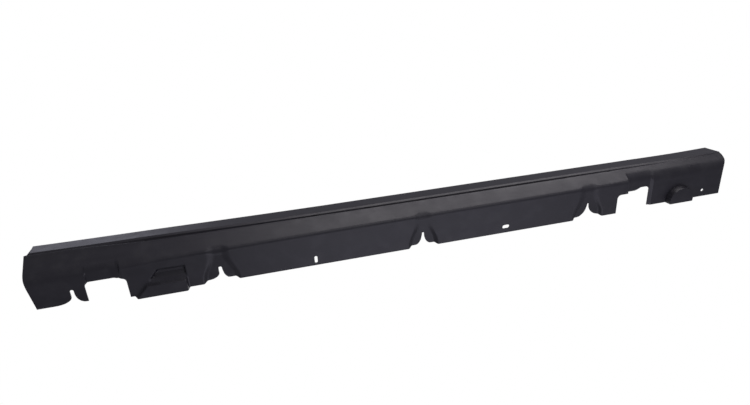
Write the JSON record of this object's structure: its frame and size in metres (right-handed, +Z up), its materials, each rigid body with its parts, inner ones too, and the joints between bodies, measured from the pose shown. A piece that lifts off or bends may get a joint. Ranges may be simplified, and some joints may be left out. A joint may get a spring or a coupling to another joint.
{
  "type": "car side skirt",
  "caption": "Long thin-walled moulded sill cover with a trim groove, a notched underside flange, jack-point cut-outs and an upstand that clips to the sill.",
  "frame": {"origin": "middle of the skirt's length and depth, at the level of the lowest point of its underside", "axes": "+X towards the rear of the car, +Y inboard towards the sill, +Z up, as the skirt sits on the car"},
  "size_m": [2.25, 0.1429, 0.195],
  "materials": {
    "moulded_plastic": "mass-coloured black plastic as it leaves the mould, with a fine satin grain"
  },
  "bodies": {
    "root": {"side_skirt": "moulded_plastic"}
  },
  "joints": []
}
